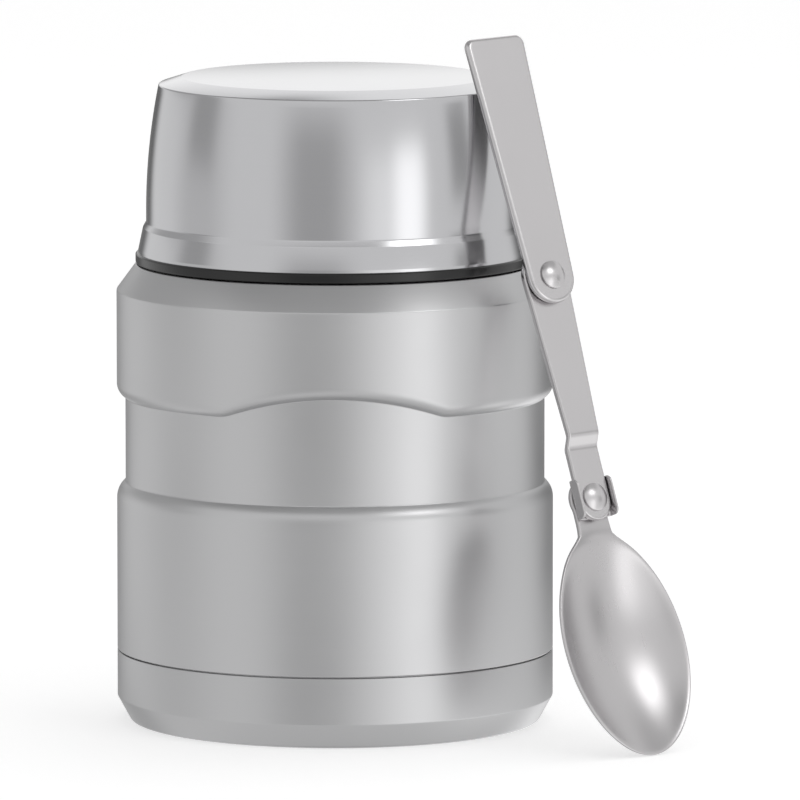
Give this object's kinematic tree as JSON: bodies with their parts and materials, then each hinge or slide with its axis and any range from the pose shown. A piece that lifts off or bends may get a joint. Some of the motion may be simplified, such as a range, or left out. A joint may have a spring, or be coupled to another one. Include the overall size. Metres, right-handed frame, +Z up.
{
  "type": "insulated food jar",
  "caption": "Double-walled vacuum food jar with banded steel body, screw-in stopper, screw-on serving lid and a folding spoon leaning on it.",
  "frame": {"origin": "centre of the flat underside of the jar's base, on the surface that it stands on", "axes": "+Z up along the jar's axis, -Y towards the front with the arch, +X to the side where the spoon stands"},
  "size_m": [0.123, 0.1061, 0.1496],
  "materials": {
    "brushed_body": "satin",
    "brushed_base": "satin",
    "vessel_steel": "electropolished",
    "vacuum_steel": "mill finish",
    "sealing_glass": "dull",
    "getter_metal": "sintered",
    "stopper_plastic": "matt black",
    "cap_plastic": "fine grained black",
    "foam": "foam",
    "silicone": "matt",
    "lid_steel": "bright brushed",
    "liner_plastic": "satin black",
    "trim_plastic": "black",
    "link_steel": "polished",
    "handle_steel": "polished",
    "bowl_steel": "polished",
    "saddle_steel": "polished",
    "rivet_steel": "polished",
    "washer_steel": "dull"
  },
  "bodies": {
    "jar": {"outer_shell": "brushed_body", "base_cup": "brushed_base", "inner_vessel": "vessel_steel", "vacuum_base": "vacuum_steel", "seal_plug": "sealing_glass", "getter": "getter_metal"},
    "stopper": {"stopper_plug": "stopper_plastic", "stopper_cap": "cap_plastic", "stopper_foam": "foam", "stopper_gasket": "silicone"},
    "lid": {"lid_shell": "lid_steel", "lid_liner": "liner_plastic", "lid_trim": "trim_plastic"},
    "spoon_middle": {"spoon_link": "link_steel", "hinge_saddle": "saddle_steel", "handle_rivet": "rivet_steel", "bowl_rivet": "rivet_steel", "handle_washer": "washer_steel", "bowl_washer": "washer_steel"},
    "spoon_top": {"spoon_handle": "handle_steel"},
    "spoon_end": {"spoon_bowl": "bowl_steel"}
  },
  "joints": [
    {"name": "stopper_lift", "type": "slide", "parent": "jar", "child": "stopper", "axis": [0, 0, 1], "range_m": [0, 0.12]},
    {"name": "lid_lift", "type": "slide", "parent": "stopper", "child": "lid", "axis": [0, 0, 1], "range_m": [0, 0.14]},
    {"name": "spoon_lift", "type": "slide", "parent": "lid", "child": "spoon_middle", "axis": [0, 0, 1], "range_m": [0, 0.16]},
    {"name": "handle_fold", "type": "hinge", "parent": "spoon_middle", "child": "spoon_top", "pos_m": [0.0464, -0.03067, 0.09984], "axis": [-0.5786, 0.7405, -0.3419], "range_deg": [0, 180]},
    {"name": "bowl_fold", "type": "hinge", "parent": "spoon_middle", "child": "spoon_end", "pos_m": [0.054, -0.03822, 0.05265], "axis": [0.5786, -0.7405, 0.3419], "range_deg": [0, 180]}
  ]
}
